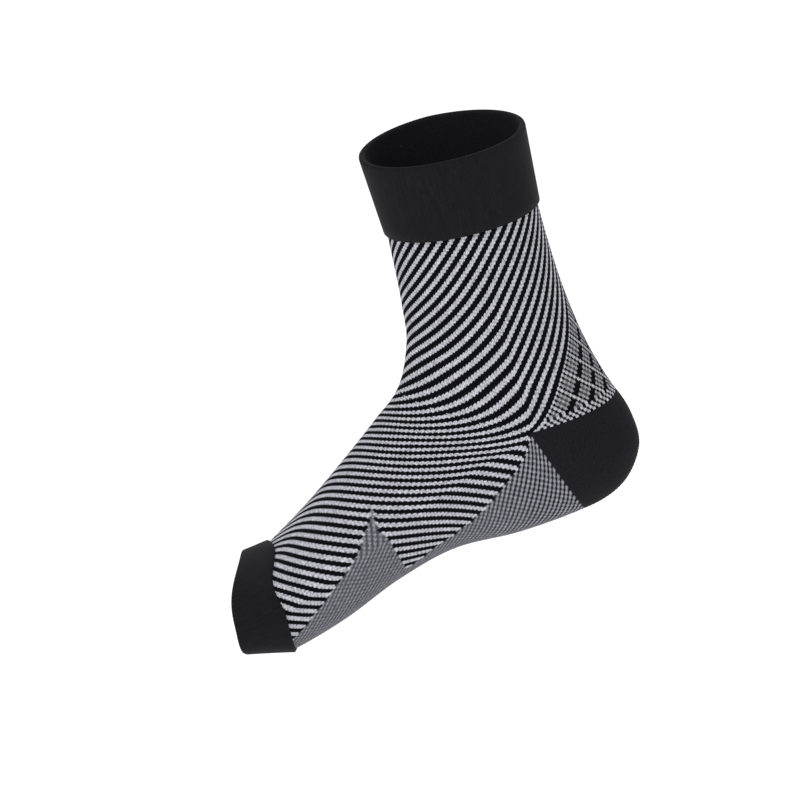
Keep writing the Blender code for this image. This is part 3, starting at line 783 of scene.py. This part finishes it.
def folded_band(name, seam, rim, width, section, toward, material, node):
    """A band of doubled fabric, its section swept round from its seam to its rim."""
    profile, knitted = section
    rows = len(profile)
    column, row = (grid.ravel() for grid in np.meshgrid(np.arange(COLUMNS), np.arange(rows)))
    needle = column / STITCH_COLUMNS - HALF_NEEDLES
    ahead = np.roll(profile, -1, 0) - np.roll(profile, 1, 0)
    ahead /= np.linalg.norm(ahead, axis=1)[:, None]
    outward = np.stack([ahead[:, 1], -ahead[:, 0]], axis=1)
    level = STITCH_LEVELS[column % STITCH_COLUMNS, row % STITCH_ROWS] * knitted[row]
    pitch = np.linalg.norm(np.roll(profile, -2, 0) - profile, axis=1).clip(0, DEEPEST_DIP)
    dip = stitch_dips(column) * pitch[row] * knitted[row]
    relief = BAND_RELIEF * level
    place = profile[row] + outward[row] * relief[:, None] + ahead[row] * dip[:, None]

    def surface(along, at):
        share = (along / width)[:, None]
        return on_rings(seam * (1 - share) + rim * share, at)

    points = raised(surface, place[:, 0], needle, toward * place[:, 1], BAND_STEP)
    down, across, wrapped = quads(row, column, COLUMNS)
    down, across, wrapped = (grid[:, ::-toward] for grid in (down, across, wrapped))
    faces = (down % rows * COLUMNS + wrapped).tolist()
    corners = np.stack([across / COLUMNS, down / rows], axis=2)
    smooth = np.ones(len(faces), bool)
    white = np.zeros(len(faces))
    return add_piece(name, points, [faces], [corners], white, level, smooth, material, node)


striped_leg = knitted_zone(
    "striped_leg", ~PANEL_STITCHES, LEG_COLOURS, CUFF_COURSE, leg_fabric, STRIPED_YARN, "striped_sleeve"
)
striped_foot = knitted_zone(
    "striped_foot", ~SOLE_STITCHES, FOOT_COLOURS, 0, foot_fabric, STRIPED_YARN, "striped_sleeve"
)
achilles = knitted_zone(
    "diamond_panel", PANEL_STITCHES, LEG_COLOURS, CUFF_COURSE, leg_fabric, DIAMOND_YARN, "achilles_panel"
)
sole = knitted_zone(
    "birdseye_sole", SOLE_STITCHES, FOOT_COLOURS, 0, foot_fabric, BIRDSEYE_YARN, "sole_panel"
)
heel = heel_piece("knitted_heel", HEEL_YARN, "heel_pocket")
cuff_section = folded_profile(
    CUFF_HEIGHT, CUFF_STAND, stitches=15, inner_rows=8, seam_edge=rolled_edge()
)
cuff = folded_band(
    "folded_cuff", LEG[0], cuff_rim(), CUFF_HEIGHT, cuff_section, 1, BAND_YARN, "cuff"
)
toe_edge = [(TOE_EDGE, TOE_BAND_STAND), (-TUCK, 0.0), (-TUCK, -TUCK)]
toe_section = folded_profile(
    TOE_BAND_WIDTH, TOE_BAND_STAND, stitches=12, inner_rows=5, seam_edge=toe_edge
)
toe_band = folded_band(
    "toe_band_knit", FOOT[-1], toe_rim(), TOE_BAND_WIDTH, toe_section, -1, BAND_YARN, "toe_band"
)


# Studio: a pale floor far below, since the sleeve hangs clear of any surface
stage = bpy.context.scene
floor_mesh = bpy.data.meshes.new("floor")
FLOOR_REACH, FLOOR_DROP = 15.0, 0.6
ends = (-FLOOR_REACH, FLOOR_REACH)
floor_mesh.from_pydata([(x, y, -FLOOR_DROP) for x in ends for y in ends], [], [(0, 2, 3, 1)])
floor = bpy.data.objects.new("floor", floor_mesh)
stage.collection.objects.link(floor)
paint = bpy.data.materials.new("pale_floor")
paint.use_nodes = True
finish = paint.node_tree.nodes["Principled BSDF"]
finish.inputs["Base Color"].default_value = (0.95, 0.95, 0.95, 1)
finish.inputs["Roughness"].default_value = 0.9
finish.inputs["Emission Color"].default_value = (1, 1, 1, 1)
finish.inputs["Emission Strength"].default_value = 0.25
floor_mesh.materials.append(paint)

world = bpy.data.worlds.new("studio")
world.use_nodes = True
world.node_tree.nodes["Background"].inputs["Color"].default_value = (1, 1, 1, 1)
world.node_tree.nodes["Background"].inputs["Strength"].default_value = 0.8
stage.world = world
stage.view_settings.view_transform = "Standard"


def soft_light(name, place, size, power):
    light = bpy.data.lights.new(name, "AREA")
    light.shape = "DISK"
    light.size = size
    light.energy = power
    lamp = bpy.data.objects.new(name, light)
    turned = Vector(place).to_track_quat("Z", "Y").to_matrix().to_4x4()
    lamp.matrix_world = Matrix.Translation(place) @ turned
    stage.collection.objects.link(lamp)


soft_light("key_light", (-0.7, -1.3, 1.3), 0.9, 12.0)
soft_light("back_light", (0.9, 1.2, 1.0), 1.0, 6.0)

# Camera: on the sleeve's near side, a little above it, and rolled as the sleeve is tipped
ELEVATION, ROLL = np.radians(20.0), np.radians(24.8)
PIXELS_PER_METRE = 2200.0
PICTURE = 800
ORIGIN_ASIDE = 108  # pixels from the picture's middle to the frame's origin
camera_data = bpy.data.cameras.new("camera")
camera_data.lens = 1000.0
camera_data.sensor_width = 36.0
camera_data.clip_end = 100.0
camera = bpy.data.objects.new("camera", camera_data)
level_up = Vector((0, np.sin(ELEVATION), np.cos(ELEVATION)))
view_from = Vector((0, -np.cos(ELEVATION), np.sin(ELEVATION)))
right = np.cos(ROLL) * Vector((1, 0, 0)) - np.sin(ROLL) * level_up
up = np.sin(ROLL) * Vector((1, 0, 0)) + np.cos(ROLL) * level_up
distance = PICTURE / PIXELS_PER_METRE * camera_data.lens / camera_data.sensor_width
target = -right * ORIGIN_ASIDE / PIXELS_PER_METRE
turned = Matrix((right, up, view_from)).transposed().to_4x4()
camera.matrix_world = Matrix.Translation(target + view_from * distance) @ turned
stage.collection.objects.link(camera)
stage.camera = camera
